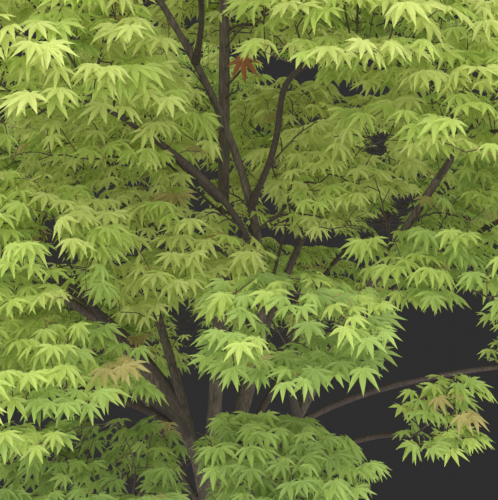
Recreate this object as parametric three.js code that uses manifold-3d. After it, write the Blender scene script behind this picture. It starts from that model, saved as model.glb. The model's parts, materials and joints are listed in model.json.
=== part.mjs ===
// Japanese maple: a small garden tree, 2.3 m high. Slender stems fan out from one short trunk and carry
// separate masses of palmate leaves. Each mass is one stem that branches by a seeded rule, with large
// leaves down both sides of its twigs. Each leaf stands for a spray.
// Millimetres, +Z up, and -Y is the front. The origin is the middle of the flat cut under the trunk, at
// ground level.
import * as THREE from "three";
import { mergeVertices } from "three/addons/utils/BufferGeometryUtils.js";
import Module from "manifold-3d";

const wasm = await Module();
wasm.setup();

// Driving dimensions
const gap = 0.3; // between any two solids that meet
const clearance = 2; // a twig or leaf nearer than this to a limb or another mass is left off
const trunk = { fork: [-30, 0, 620], bow: [16, 8, 0], radii: [39, 29], shoulder: 0.62 };
const rootFlare = { spread: 36, height: 60, ridges: 5, ridgeDepth: 0.3 };
const boughs = {
  rise: 0.7, // the slope at which a bough leaves its stem, as height over way out
  from: 0.1, // the stretch of a stem that boughs may leave, as shares of its length
  to: 0.9,
  step: 0.02,
  arch: 0.1,
  sway: 0.035,
  radii: [7.6, 4.4],
  thickestShare: 0.72, // of its stem's radius
};
const limbFaces = {
  trunk: { sides: 10, steps: 9, crowding: 1.35 },
  stem: { sides: 6, steps: 10 },
  bough: { sides: 5, steps: 4 },
};
const massEntry = 0.86; // how far out a limb ends, as a share of the way from a mass's centre to its surface
const growth = {
  seed: 40,
  places: 33, // in a mass whose half sizes have a product of one cubic metre
  leastPlaces: 2,
  tries: 24, // for each place, of which the one farthest from the others is kept
  flatness: 2.2, // how many times farther a distance counts upwards than sideways
  inset: [0.75, 0.75, 0.3], // from the space's surface, as shares of the leaf's length
  detour: 0.35,
};
const twigs = {
  sides: 3,
  tipRadius: 2.6,
  thickening: 0.42, // the power by which a twig's radius grows with the number of twigs that it carries
  stub: 16,
  sharpest: 65, // the sharpest turn, in degrees, that a row of twigs runs on through
  sideShare: 0.6,
  rootShare: 0.9,
};
const leaf = {
  ofMass: 0.52, // the length of a mass's leaves, as a share of its smaller half size
  shortest: 100,
  longest: 175,
  thickness: 0.026, // this and the dome are shares of the leaf's length
  dome: 0.15,
  peak: 0.3, // how far out the dome is highest
  sunk: 1.2, // how far the root reaches back into its twig
};
const leafLobes = [
  { turn: 0, reach: 1, notch: 0.58 },
  { turn: 31, reach: 0.97, notch: 0.5 },
  { turn: 59, reach: 0.76 },
];
const leafPlacing = {
  spacing: 0.58, // along a twig, as a share of the leaf's length
  turn: 85, // degrees from its twig
  droop: 34,
  droopSpread: 16,
  roll: 18,
  reach: 1.08, // how far out a leaf may come, as a share of the way from its mass's centre to its surface
  apart: 0.06, // how much deeper in its own mass's space than in any other's a leaf has to lie
  sizes: [1, 0.85, 0.7], // the sizes and swings that are tried before a leaf is skipped
  swings: [0, -20, 20],
};

// The stems, each from its foot in the trunk to the mass that it ends in. A stem's line has a bow of that
// height at mid-length and a sway, one wave sideways.
const stems = [
  {
    name: "leader",
    mass: "top",
    foot: [-30, 8, 560],
    bow: [6, 0, 0],
    sway: 6,
    radii: [15, 6.5],
  },
  {
    name: "left",
    mass: "left",
    foot: [-43, -6, 560],
    bow: [70, 20, 110],
    sway: -6,
    radii: [13, 5.5],
  },
  {
    name: "crossing",
    mass: "high-left",
    foot: [-15, -10, 565],
    bow: [200, -10, 0],
    sway: 6,
    radii: [11, 5],
  },
  {
    name: "right",
    mass: "upper-right",
    foot: [-8, -8, 385],
    bow: [-45, -45, 0],
    sway: 8,
    radii: [12.5, 5.5],
  },
  {
    name: "back-left",
    mass: "upper-back-left",
    foot: [-14, 10, 330],
    bow: [20, -30, 0],
    sway: 8,
    radii: [12.5, 5.5],
  },
  {
    name: "back-right",
    mass: "upper-back-right",
    foot: [-14, 12, 440],
    bow: [-50, -40, 0],
    sway: -8,
    radii: [12, 5.5],
  },
];

// The masses of foliage: turn is the compass angle from +X, out and up place the centre, and half holds
// the half sizes of its space outwards, sideways and upwards. stem names the limb that its bough grows
// from. The stem of a direct mass grows from that limb itself.
const masses = [
  { name: "top", stem: "leader", turn: 60, out: 45, up: 2225, half: [350, 350, 200] },
  { name: "high-left", stem: "crossing", turn: 208, out: 400, up: 1900, half: [380, 380, 200] },
  { name: "high-right", stem: "leader", turn: 328, out: 400, up: 1960, half: [370, 380, 205] },
  { name: "high-back", stem: "leader", direct: true, turn: 88, out: 390, up: 1990, half: [360, 380, 205] },
  { name: "upper-front", stem: "crossing", turn: 268, out: 600, up: 1690, half: [360, 400, 180] },
  { name: "upper-right", stem: "right", turn: 342, out: 700, up: 1620, half: [410, 400, 195] },
  { name: "upper-back-right", stem: "back-right", turn: 54, out: 690, up: 1500, half: [410, 400, 210] },
  { name: "upper-back-left", stem: "back-left", turn: 127, out: 690, up: 1640, half: [410, 400, 205] },
  { name: "upper-left", stem: "crossing", turn: 197, out: 690, up: 1540, half: [410, 400, 200] },
  { name: "right", stem: "right", turn: 4, out: 770, up: 1220, half: [380, 400, 185] },
  { name: "back-right", stem: "back-right", turn: 56, out: 820, up: 1090, half: [390, 400, 195] },
  { name: "back", stem: "back-right", turn: 105, out: 800, up: 1260, half: [380, 390, 200] },
  { name: "back-left", stem: "back-left", turn: 155, out: 785, up: 1110, half: [380, 400, 200] },
  { name: "left", stem: "left", turn: 202, out: 795, up: 1150, half: [370, 390, 185] },
  { name: "low-back-right", stem: "back-right", turn: 16, out: 850, up: 790, half: [290, 310, 150] },
  { name: "low-back", stem: "back-right", turn: 80, out: 510, up: 800, half: [340, 330, 160] },
  { name: "low-back-left", stem: "back-left", turn: 128, out: 560, up: 760, half: [350, 360, 155] },
  { name: "low-left", stem: "left", turn: 188, out: 620, up: 830, half: [360, 340, 150] },
  { name: "near-left", stem: "crossing", turn: 249, out: 660, up: 1400, half: [260, 240, 150] },
  {
    name: "upper-inner-left",
    stem: "leader",
    direct: true,
    turn: 234,
    out: 320,
    up: 1290,
    half: [230, 230, 130],
  },
  { name: "middle-left", stem: "left", turn: 230, out: 540, up: 1100, half: [260, 270, 125] },
  { name: "low-front-left", stem: "left", turn: 238, out: 580, up: 900, half: [240, 230, 112] },
  { name: "foot-front-left", stem: "trunk", turn: 241, out: 410, up: 690, half: [270, 270, 105] },
  { name: "near-right", stem: "crossing", turn: 287, out: 590, up: 1450, half: [220, 220, 130] },
  {
    name: "upper-front-right",
    stem: "right",
    direct: true,
    turn: 314,
    out: 590,
    up: 1330,
    half: [280, 280, 150],
  },
  {
    name: "middle-right",
    stem: "right",
    direct: true,
    turn: 329,
    out: 520,
    up: 1060,
    half: [260, 250, 120],
  },
  { name: "front", stem: "right", turn: 282, out: 505, up: 980, half: [220, 185, 95] },
  { name: "low-front", stem: "right", turn: 281, out: 355, up: 695, half: [220, 215, 115] },
  { name: "low-right", stem: "right", turn: 326, out: 465, up: 760, half: [110, 110, 85] },
  {
    name: "inner-left",
    stem: "leader",
    direct: true,
    turn: 244,
    out: 225,
    up: 1050,
    half: [220, 230, 140],
  },
  {
    name: "inner-right",
    stem: "crossing",
    direct: true,
    turn: 330,
    out: 235,
    up: 1160,
    half: [190, 170, 120],
  },
  {
    name: "inner-back",
    stem: "back-right",
    direct: true,
    turn: 60,
    out: 330,
    up: 1170,
    half: [240, 280, 175],
  },
  { name: "inner-high", stem: "leader", direct: true, turn: 75, out: 210, up: 1525, half: [250, 260, 190] },
  {
    name: "inner-back-left",
    stem: "back-left",
    direct: true,
    turn: 140,
    out: 350,
    up: 1180,
    half: [260, 260, 150],
  },
];

const bark = { color: 0x4f4136, roughness: 0.9, metalness: 0 };
const foliage = { color: 0x8fb03c, roughness: 0.7, metalness: 0 };

const upwards = new THREE.Vector3(0, 0, 1);
const eastwards = new THREE.Vector3(1, 0, 0);
const vector = (p) => new THREE.Vector3(...p);
const radians = THREE.MathUtils.degToRad;
const mix = THREE.MathUtils.lerp;

// A repeatable run of numbers from 0 to 1.
function seeded(seed) {
  let state = seed >>> 0;
  return () => {
    state = (Math.imul(state, 1664525) + 1013904223) >>> 0;
    return state / 2 ** 32;
  };
}

// A closed geometry as a solid that can be joined, cut and measured.
function solidOf(geometry) {
  const bare = geometry.clone();
  bare.deleteAttribute("normal");
  bare.deleteAttribute("uv");
  const merged = mergeVertices(bare, 1e-4);
  return new wasm.Manifold(
    new wasm.Mesh({
      numProp: 3,
      vertProperties: merged.attributes.position.array,
      triVerts: new Uint32Array(merged.index.array),
    }),
  );
}

function meshOf(solid, name, look) {
  const { vertProperties, triVerts } = solid.getMesh();
  const geometry = new THREE.BufferGeometry()
    .setAttribute("position", new THREE.BufferAttribute(vertProperties, 3))
    .setIndex(new THREE.BufferAttribute(triVerts, 1));
  geometry.computeVertexNormals();
  const mesh = new THREE.Mesh(geometry, new THREE.MeshStandardMaterial(look));
  mesh.name = name;
  return mesh;
}

const largestPiece = (solid) => solid.decompose().sort((a, b) => b.volume() - a.volume())[0];

function boxesMeet(a, b, margin) {
  const p = a.boundingBox();
  const q = b.boundingBox();
  return [0, 1, 2].every((i) => p.min[i] - margin < q.max[i] && q.min[i] - margin < p.max[i]);
}

const isClear = (solid, others) =>
  others.every((other) => !boxesMeet(solid, other, clearance) || solid.minGap(other, clearance) >= clearance);

// A limb's centre line runs from foot to tip, bowed by a parabola and swayed by one sine wave.
class LimbLine extends THREE.Curve {
  constructor(foot, tip, bow, sway) {
    super();
    Object.assign(this, { foot, tip, bow, sway });
  }
  getPoint(t, target = new THREE.Vector3()) {
    return target
      .copy(this.foot)
      .lerp(this.tip, t)
      .addScaledVector(this.bow, 4 * t * (1 - t))
      .addScaledVector(this.sway, Math.sin(2 * Math.PI * t));
  }
}

// The trunk: level rings from the flat cut at the ground, where ridges of root flare swell it, to the
// fork.
function trunkSolid({ line, radii, sides, steps, crowding }, extra = 0) {
  const geometry = new THREE.CylinderGeometry(1, 1, 1, sides, steps);
  const at = geometry.attributes.position;
  for (let i = 0; i < at.count; i++) {
    const height = (at.getY(i) + 0.5) ** crowding;
    const centre = line.getPoint(height);
    const angle = Math.atan2(at.getZ(i), at.getX(i));
    const flare = rootFlare.spread * Math.exp(-centre.z / rootFlare.height);
    const ridge = 1 + rootFlare.ridgeDepth * Math.cos(rootFlare.ridges * angle);
    const narrowing = height === 1 ? trunk.shoulder : 1;
    const girth = mix(...radii, height) * narrowing + flare * ridge + extra;
    at.setXYZ(i, centre.x + girth * at.getX(i), centre.y - girth * at.getZ(i), centre.z + extra * height);
  }
  return solidOf(geometry);
}

// Two directions square to a row of points at each point, turned as little as can be from one to the next.
function framesAlong(points) {
  let across = null;
  return points.map((point, i) => {
    const along = (points[i + 1] ?? point).clone().sub(points[i - 1] ?? point).normalize();
    across ??= (Math.abs(along.z) < 0.9 ? upwards : eastwards).clone();
    across = across.clone().addScaledVector(along, -across.dot(along)).normalize();
    return { across, over: along.cross(across) };
  });
}

// A tapering tube with flat ends through a row of points, with a radius at each.
function tubeSolid(points, radii, sides) {
  const steps = points.length - 1;
  const geometry = new THREE.CylinderGeometry(1, 1, 1, sides, steps);
  const at = geometry.attributes.position;
  const frames = framesAlong(points);
  for (let i = 0; i < at.count; i++) {
    const step = Math.round((at.getY(i) + 0.5) * steps);
    const point = points[step]
      .clone()
      .addScaledVector(frames[step].across, radii[step] * at.getX(i))
      .addScaledVector(frames[step].over, -radii[step] * at.getZ(i));
    at.setXYZ(i, point.x, point.y, point.z);
  }
  return solidOf(geometry);
}

function limbSolid({ line, radii, sides, steps }, extra = 0) {
  const points = line.getSpacedPoints(steps);
  return tubeSolid(points, points.map((_, i) => mix(...radii, i / steps) + extra), sides);
}

// How far a point is from a mass's centre: under 1 is inside its space.
function shareOf(mass, point) {
  const from = point.clone().sub(mass.centre).applyAxisAngle(upwards, -radians(mass.turn));
  return from.divide(vector(mass.half)).length();
}

function inOwnSpace(mass, point) {
  const own = shareOf(mass, point);
  const least = Math.min(1, own + leafPlacing.apart);
  return own <= leafPlacing.reach && masses.every((other) => other === mass || shareOf(other, point) > least);
}

// The point where a limb that comes from start ends in a mass's space.
function entryPoint(mass, start) {
  const away = start.clone().sub(mass.centre);
  return away.multiplyScalar(Math.min(1, massEntry / shareOf(mass, start))).add(mass.centre);
}

// Where on a limb the way to a mass leaves it: the place from which that way has the chosen rise.
function leavingPoint(limb, mass) {
  let best = { miss: Infinity };
  for (let t = boughs.from; t <= boughs.to; t += boughs.step) {
    const start = limb.line.getPoint(t);
    const entry = entryPoint(mass, start);
    const way = entry.clone().sub(start);
    const miss = Math.abs(way.z / Math.hypot(way.x, way.y) - boughs.rise);
    if (miss < best.miss) best = { miss, t, start, entry, way };
  }
  return best;
}

function trunkRow() {
  const line = new LimbLine(vector([0, 0, 0]), vector(trunk.fork), vector(trunk.bow), vector([0, 0, 0]));
  return { name: "trunk", line, radii: trunk.radii, ...limbFaces.trunk };
}

function stemRow(stem) {
  const foot = vector(stem.foot);
  const tip = entryPoint(masses.find((mass) => mass.name === stem.mass), foot);
  const line = new LimbLine(foot, tip, vector(stem.bow), vector([stem.sway, stem.sway, 0]));
  return { ...stem, line, ...limbFaces.stem };
}

function boughRow(mass, index) {
  const limb = [trunkLimb, ...stemLimbs].find((row) => row.name === mass.stem);
  const { t, start, entry, way } = leavingPoint(limb, mass);
  const bow = vector([0, 0, boughs.arch * way.length()]);
  const sway = vector([-way.y, way.x, 0]).multiplyScalar(boughs.sway * (index % 2 ? 1 : -1));
  const foot = Math.min(boughs.radii[0], boughs.thickestShare * mix(...limb.radii, t));
  const line = new LimbLine(start, entry, bow, sway);
  return { name: mass.name, mass: mass.name, line, radii: [foot, boughs.radii[1]], ...limbFaces.bough };
}

// The places that a mass's twigs reach, well apart and far enough inside its space for a leaf to fit
// beyond them.
function twigPlaces(mass, random) {
  const room = vector(mass.half.map((half, axis) => half - growth.inset[axis] * mass.leafLength));
  const size = Math.sqrt((mass.half[0] * mass.half[1] * mass.half[2]) / 1e9);
  const count = Math.max(growth.leastPlaces, Math.round(growth.places * size));
  const apart = (p, q) => Math.hypot(p.x - q.x, p.y - q.y, growth.flatness * (p.z - q.z));
  const chosen = [];
  while (chosen.length < count) {
    let best = { space: -1 };
    for (let i = 0; i < growth.tries; i++) {
      const turn = 2 * Math.PI * random();
      const rise = 2 * random() - 1;
      const out = Math.cbrt(random());
      const flat = out * Math.sqrt(1 - rise * rise);
      const at = vector([flat * Math.cos(turn), flat * Math.sin(turn), out * rise])
        .multiply(room)
        .applyAxisAngle(upwards, radians(mass.turn))
        .add(mass.centre);
      const space = Math.min(growth.flatness * mass.half[0], ...chosen.map((other) => apart(other, at)));
      if (space > best.space) best = { space, at };
    }
    chosen.push(best.at);
  }
  return chosen;
}

// Joins each target to the nearest place that has grown so far. A long way back to the root counts against
// a place.
function growTo(start, targets) {
  const grown = [{ at: start, parent: -1, way: 0, reached: true }];
  const waiting = [...targets];
  while (waiting.length) {
    let best = { cost: Infinity };
    waiting.forEach((at, target) =>
      grown.forEach((place, parent) => {
        const length = place.at.distanceTo(at);
        const cost = length + growth.detour * place.way;
        if (cost < best.cost) best = { cost, target, parent, way: place.way + length };
      }),
    );
    grown.push({ at: waiting.splice(best.target, 1)[0], parent: best.parent, way: best.way });
  }
  return grown;
}

// How many twigs each place of a grown stem carries, its own included.
function loadsOf(grown) {
  const loads = grown.map(() => 1);
  for (let i = grown.length - 1; i > 0; i--) loads[grown[i].parent] += loads[i];
  return loads;
}

// A palmate leaf from its lobes: a thin dome with a sharp edge, which points along +X from the origin of
// its matrix.
function leafSolid(length, matrix) {
  const side = leafLobes.flatMap((lobe, i) => {
    const next = leafLobes[i + 1];
    const tip = [lobe.turn, lobe.reach];
    return next ? [tip, [mix(lobe.turn, next.turn, 0.5), lobe.notch]] : [tip];
  });
  const mirrored = side.slice(1).reverse().map(([turn, reach]) => [-turn, reach]);
  const sunk = leaf.sunk / length;
  const floor = (-leaf.dome * sunk) / (sunk + leaf.peak); // brings the root down to the middle of its twig
  const rim = [...side, [180, sunk], ...mirrored].map(([turn, reach]) =>
    vector([reach * Math.cos(radians(turn)), reach * Math.sin(radians(turn)), floor]),
  );
  const heights = [leaf.dome, leaf.dome - leaf.thickness];
  const peaks = heights.map((height) => vector([leaf.peak, 0, floor + height]));
  const faces = rim.flatMap((_, i) => {
    const next = (i + 1) % rim.length;
    return [rim.length, i, next, rim.length + 1, next, i];
  });
  const geometry = new THREE.BufferGeometry()
    .setFromPoints([...rim, ...peaks])
    .setIndex(faces)
    .scale(length, length, length)
    .applyMatrix4(matrix);
  return { solid: solidOf(geometry), rim: rim.map((p) => p.multiplyScalar(length).applyMatrix4(matrix)) };
}

// A leaf that fits at a place on a twig, or none. Smaller leaves and other turns are tried before it is
// skipped.
function fittingLeaf(mass, base, heading, random, others) {
  const droop = leafPlacing.droop + leafPlacing.droopSpread * (random() - 0.5);
  const roll = leafPlacing.roll * (random() - 0.5);
  for (const size of leafPlacing.sizes) {
    for (const swing of leafPlacing.swings) {
      const turned = new THREE.Euler(radians(roll), radians(droop), heading + radians(swing), "ZYX");
      const matrix = new THREE.Matrix4().makeRotationFromEuler(turned).setPosition(base);
      const { solid, rim } = leafSolid(mass.leafLength * size, matrix);
      if (rim.every((point) => inOwnSpace(mass, point)) && isClear(solid, others)) return [solid];
    }
  }
  return [];
}

// The leaves of one twig: one at its end, where it carries no other twig, and the rest in turn down both
// sides.
function twigLeaves(mass, from, to, isLast, random, others) {
  const way = to.clone().sub(from);
  const heading = Math.atan2(way.y, way.x);
  const count = Math.max(1, Math.round(way.length() / (leafPlacing.spacing * mass.leafLength)));
  const kept = [];
  for (let i = 0; i < count; i++) {
    const base = to.clone().addScaledVector(way, -i / count);
    const side = i % 2 ? 1 : -1;
    const turned = isLast && i === 0 ? heading : heading + side * radians(leafPlacing.turn);
    kept.push(...fittingLeaf(mass, base, turned, random, [...others, ...kept]));
  }
  return kept;
}

// How sharply the way through three places turns, in degrees.
function turnAt(before, at, next) {
  return THREE.MathUtils.radToDeg(at.clone().sub(before).angleTo(next.clone().sub(at)));
}

// The twigs as rows of places: a row runs on along its heaviest twig, and the others there start rows of
// their own.
function twigRows(grown, loads) {
  const rows = [[]];
  const turnOf = (row, at, i) => turnAt(grown[row.at(-2)].at, grown[at].at, grown[i].at);
  const follow = (row, at) => {
    row.push(at);
    const next = grown.flatMap((place, i) => (place.parent === at && place.reached ? [i] : []));
    next.sort((a, b) => loads[b] - loads[a]);
    const ahead = next.find((i) => at === 0 || turnOf(row, at, i) < twigs.sharpest);
    if (ahead !== undefined) follow(row, ahead);
    for (const side of next.filter((i) => i !== ahead)) {
      rows.push([at]);
      follow(rows.at(-1), side);
    }
  };
  follow(rows[0], 0);
  return rows;
}

// One mass: its stem, the twigs that branch from it, and their leaves, fused into one solid.
function massSolid(mass, index, obstacles) {
  const random = seeded(growth.seed + index);
  const { foot, neck, footRadius, carrier, isCut } = rootOf(mass);
  const grown = growTo(neck, twigPlaces(mass, random));
  const loads = loadsOf(grown);
  const radii = loads.map((load) => Math.min(twigs.tipRadius * load ** twigs.thickening, footRadius));
  const leaves = [];
  grown.slice(1).forEach((place, i) => {
    const parent = grown[place.parent];
    const twig = tubeSolid([parent.at, place.at], [radii[place.parent], radii[i + 1]], twigs.sides);
    const others = place.parent === 0 ? obstacles.filter((other) => other !== carrier.solid) : obstacles;
    place.reached = parent.reached && isClear(twig, others);
    if (!place.reached) return;
    const isLast = loads[i + 1] === 1;
    leaves.push(...twigLeaves(mass, parent.at, place.at, isLast, random, [...obstacles, ...leaves]));
  });
  const tubes = twigRows(grown, loads).map((row, r) => {
    const points = row.map((i) => grown[i].at);
    const thick = row.map((i) => radii[i]);
    if (r === 0) return tubeSolid([foot, ...points], [footRadius, ...thick], twigs.sides);
    const first = Math.min(thick[1], twigs.sideShare * thick[0]);
    return tubeSolid(points, [first, ...thick.slice(1)], twigs.sides);
  });
  const whole = wasm.Manifold.union([...tubes, ...leaves]);
  return largestPiece(isCut ? whole.subtract(carrier.swollen) : whole);
}

// Where a mass's stem starts: at the tip of its own limb, or inside the limb beside it, which then cuts it
// clear.
function rootOf(mass) {
  if (mass.direct) {
    const carrier = wood.find((limb) => limb.row.name === mass.stem);
    const { start, entry } = leavingPoint(carrier.row, mass);
    return { foot: start, neck: entry, footRadius: boughs.radii[1], carrier, isCut: true };
  }
  const carrier = wood.find((limb) => limb.row.mass === mass.name);
  const [before, tip] = carrier.row.line.getSpacedPoints(carrier.row.steps).slice(-2);
  const along = tip.clone().sub(before).normalize();
  const foot = tip.clone().addScaledVector(along, gap);
  const neck = tip.clone().addScaledVector(along, twigs.stub);
  return { foot, neck, footRadius: twigs.rootShare * carrier.row.radii[1], carrier, isCut: false };
}

// A limb, cut clear of the limbs that it grows from.
function addWood(kind, row, makeSolid) {
  const whole = makeSolid(row);
  const met = wood.filter((other) => boxesMeet(whole, other.swollen, 0)).map((other) => other.swollen);
  const solid = met.length ? largestPiece(whole.subtract(wasm.Manifold.union(met))) : whole;
  wood.push({ row, solid, swollen: makeSolid(row, gap) });
  tree.add(meshOf(solid, kind + row.name, bark));
}

for (const mass of masses) {
  const heading = radians(mass.turn);
  mass.centre = vector([mass.out * Math.cos(heading), mass.out * Math.sin(heading), mass.up]);
  const ofWidth = leaf.ofMass * Math.min(mass.half[0], mass.half[1]);
  mass.leafLength = THREE.MathUtils.clamp(ofWidth, leaf.shortest, leaf.longest);
}
const trunkLimb = trunkRow();
const stemLimbs = stems.map(stemRow);
const endsInStem = (mass) => stems.some((stem) => stem.mass === mass.name);
const boughLimbs = masses.filter((mass) => !mass.direct && !endsInStem(mass)).map(boughRow);

const tree = new THREE.Group();
const wood = [];
addWood("", trunkLimb, trunkSolid);
stemLimbs.forEach((row) => addWood("stem-", row, limbSolid));
boughLimbs.forEach((row) => addWood("bough-", row, limbSolid));

const obstacles = wood.map((limb) => limb.solid);
masses.forEach((mass, index) => {
  const solid = massSolid(mass, index, obstacles);
  obstacles.push(solid);
  tree.add(meshOf(solid, "leaves-" + mass.name, foliage));
});

export default tree;
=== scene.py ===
import json
import math
import bpy
import numpy as np
from mathutils import Euler, Matrix, Vector

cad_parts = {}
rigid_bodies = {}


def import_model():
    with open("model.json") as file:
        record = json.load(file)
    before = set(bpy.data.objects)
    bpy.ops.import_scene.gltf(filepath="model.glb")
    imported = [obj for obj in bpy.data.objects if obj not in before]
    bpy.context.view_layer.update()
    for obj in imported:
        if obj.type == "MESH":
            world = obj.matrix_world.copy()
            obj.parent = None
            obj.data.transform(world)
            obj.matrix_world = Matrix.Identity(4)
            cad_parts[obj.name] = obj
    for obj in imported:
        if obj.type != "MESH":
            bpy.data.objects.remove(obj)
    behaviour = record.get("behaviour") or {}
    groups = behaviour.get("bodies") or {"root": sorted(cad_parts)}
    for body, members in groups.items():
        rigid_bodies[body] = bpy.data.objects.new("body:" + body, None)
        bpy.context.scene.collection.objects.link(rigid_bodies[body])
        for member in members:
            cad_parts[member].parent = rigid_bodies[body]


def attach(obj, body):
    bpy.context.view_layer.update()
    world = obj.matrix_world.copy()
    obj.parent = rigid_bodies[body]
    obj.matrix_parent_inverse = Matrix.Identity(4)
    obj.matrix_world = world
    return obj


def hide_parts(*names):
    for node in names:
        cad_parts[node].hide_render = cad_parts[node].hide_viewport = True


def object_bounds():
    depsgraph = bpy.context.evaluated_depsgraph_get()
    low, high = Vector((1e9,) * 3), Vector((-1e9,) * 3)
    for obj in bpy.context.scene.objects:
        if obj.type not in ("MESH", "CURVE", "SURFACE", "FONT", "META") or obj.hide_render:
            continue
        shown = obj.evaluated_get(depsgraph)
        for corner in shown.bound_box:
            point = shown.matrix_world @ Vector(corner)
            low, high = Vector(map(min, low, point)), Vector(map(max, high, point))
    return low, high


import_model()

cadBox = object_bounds()
mm = 0.001  # growth is worked out in millimetres, as in the solids, and meshes are in metres
squareMetre = 1e6  # in square millimetres
cubicMetre = 1e9  # in cubic millimetres
up = Vector((0, 0, 1))

# Growth: stems leave the trunk, boughs leave the stems, and each carries one mass of foliage

trunkSizes = {
    "fork": (-30, 0, 620),
    "bow": (16, 8, 0),
    "radii": (39, 29),
    "flutes": 3,
    "fluting": 0.05,  # how deep the flutes are, as a share of the radius
    "fluteTwist": 5,
    "roundedFrom": 0.93,  # share of the height from which the fork's top closes
    "closed": 0.02,  # what is left of the top's section, which the stems cover
    "sides": 40,
    "ring": 5,
}
flareSizes = {"spread": 36, "height": 60, "ridges": 5, "ridgeDepth": 0.3}

stemRows = (
    # name, mass it ends in, foot, bow, sway, radii
    ("leader", "top", (-30, 8, 560), (6, 0, 0), 6, (15, 6.5)),
    ("left", "left", (-43, -6, 560), (70, 20, 110), -6, (13, 5.5)),
    ("crossing", "high-left", (-15, -10, 565), (200, -10, 0), 6, (11, 5)),
    ("right", "upper-right", (-8, -8, 385), (-45, -45, 0), 8, (12.5, 5.5)),
    ("back-left", "upper-back-left", (-14, 10, 330), (20, -30, 0), 8, (12.5, 5.5)),
    ("back-right", "upper-back-right", (-14, 12, 440), (-50, -40, 0), -8, (12, 5.5)),
)

massRows = (
    # name, limb its bough grows from, compass turn from +X, way out, height, half sizes
    ("top", "leader", 60, 45, 2225, (350, 350, 200)),
    ("high-left", "crossing", 208, 400, 1900, (380, 380, 200)),
    ("high-right", "leader", 328, 400, 1960, (370, 380, 205)),
    ("high-back", "leader", 88, 390, 1990, (360, 380, 205)),
    ("upper-front", "crossing", 268, 600, 1690, (360, 400, 180)),
    ("upper-right", "right", 342, 700, 1620, (410, 400, 195)),
    ("upper-back-right", "back-right", 54, 690, 1500, (410, 400, 210)),
    ("upper-back-left", "back-left", 127, 690, 1640, (410, 400, 205)),
    ("upper-left", "crossing", 197, 690, 1540, (410, 400, 200)),
    ("right", "right", 4, 770, 1220, (380, 400, 185)),
    ("back-right", "back-right", 56, 820, 1090, (390, 400, 195)),
    ("back", "back-right", 105, 800, 1260, (380, 390, 200)),
    ("back-left", "back-left", 155, 785, 1110, (380, 400, 200)),
    ("left", "left", 202, 795, 1150, (370, 390, 185)),
    ("low-back-right", "back-right", 16, 850, 790, (290, 310, 150)),
    ("low-back", "back-right", 80, 510, 800, (340, 330, 160)),
    ("low-back-left", "back-left", 128, 560, 760, (350, 360, 155)),
    ("low-left", "left", 188, 620, 830, (360, 340, 150)),
    ("near-left", "crossing", 249, 660, 1400, (260, 240, 150)),
    ("upper-inner-left", "leader", 234, 320, 1290, (230, 230, 130)),
    ("middle-left", "left", 230, 540, 1100, (260, 270, 125)),
    ("low-front-left", "left", 238, 580, 900, (240, 230, 112)),
    ("foot-front-left", "trunk", 241, 410, 690, (270, 270, 105)),
    ("near-right", "crossing", 287, 590, 1450, (220, 220, 130)),
    ("upper-front-right", "right", 314, 590, 1330, (280, 280, 150)),
    ("middle-right", "right", 329, 520, 1060, (260, 250, 120)),
    ("front", "right", 282, 505, 980, (220, 185, 95)),
    ("low-front", "right", 281, 355, 695, (220, 215, 115)),
    ("low-right", "right", 326, 465, 760, (110, 110, 85)),
    ("inner-left", "leader", 244, 225, 1050, (220, 230, 140)),
    ("inner-right", "crossing", 330, 235, 1160, (190, 170, 120)),
    ("inner-back", "back-right", 60, 330, 1170, (240, 280, 175)),
    ("inner-high", "leader", 75, 210, 1525, (250, 260, 190)),
    ("inner-back-left", "back-left", 140, 350, 1180, (260, 260, 150)),
)
directMasses = {  # these grow from the limb itself, with no bough
    "high-back", "upper-inner-left", "upper-front-right", "middle-right", "inner-left", "inner-right",
    "inner-back", "inner-high", "inner-back-left",
}

boughSizes = {
    "rise": 0.7,  # slope at which a bough leaves its stem
    "from": 0.1,  # share of the stem below which no bough leaves it
    "to": 0.9,
    "step": 0.02,
    "arch": 0.1,
    "sway": 0.035,
    "radii": (7.6, 4.4),
    "thickestShare": 0.72,  # of its stem's radius
    "entry": 0.86,  # how far out in its mass a limb ends
}
chance = {"factor": 1664525, "step": 1013904223, "range": 2 ** 32}


def seeded(seed):
    # the same chance draws as in the solids
    state = [seed]

    def draw():
        state[0] = (state[0] * chance["factor"] + chance["step"]) % chance["range"]
        return state[0] / chance["range"]

    return draw


def mix(a, b, t):
    return a + (b - a) * t


def centred(random):
    # a chance value between minus and plus a half
    return random() - 0.5


def makeMass(row, index):
    name, stem, turn, out, height, half = row
    heading = math.radians(turn)
    centre = Vector((out * math.cos(heading), out * math.sin(heading), height))
    return {"name": name, "stem": stem, "heading": heading, "centre": centre, "half": Vector(half),
            "index": index, "direct": name in directMasses}


def turned(vector, angle):
    return Matrix.Rotation(angle, 3, "Z") @ vector


def shareOf(mass, point):
    away = turned(point - mass["centre"], -mass["heading"])
    return Vector(away[i] / mass["half"][i] for i in range(3)).length


def entryPoint(mass, start):
    return mass["centre"] + (start - mass["centre"]) * min(1, boughSizes["entry"] / shareOf(mass, start))


def makeLimb(name, massName, foot, tip, bow, sway, radii):
    return {"name": name, "mass": massName, "foot": Vector(foot), "tip": Vector(tip), "bow": Vector(bow),
            "sway": Vector(sway), "radii": radii}


def pointOn(limb, t):
    straight = limb["foot"].lerp(limb["tip"], t)
    return straight + limb["bow"] * 4 * t * (1 - t) + limb["sway"] * math.sin(2 * math.pi * t)


def leavingPoint(limb, mass):
    # where on the limb a bough to the mass rises at the wished slope
    best = None
    t = boughSizes["from"]
    while t <= boughSizes["to"]:
        start = pointOn(limb, t)
        entry = entryPoint(mass, start)
        way = entry - start
        miss = abs(way.z / way.xy.length - boughSizes["rise"]) if way.xy.length > 1 else math.inf
        if best is None or miss < best[0]:
            best = (miss, t, start, entry, way)
        t += boughSizes["step"]
    return best[1:]


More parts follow.
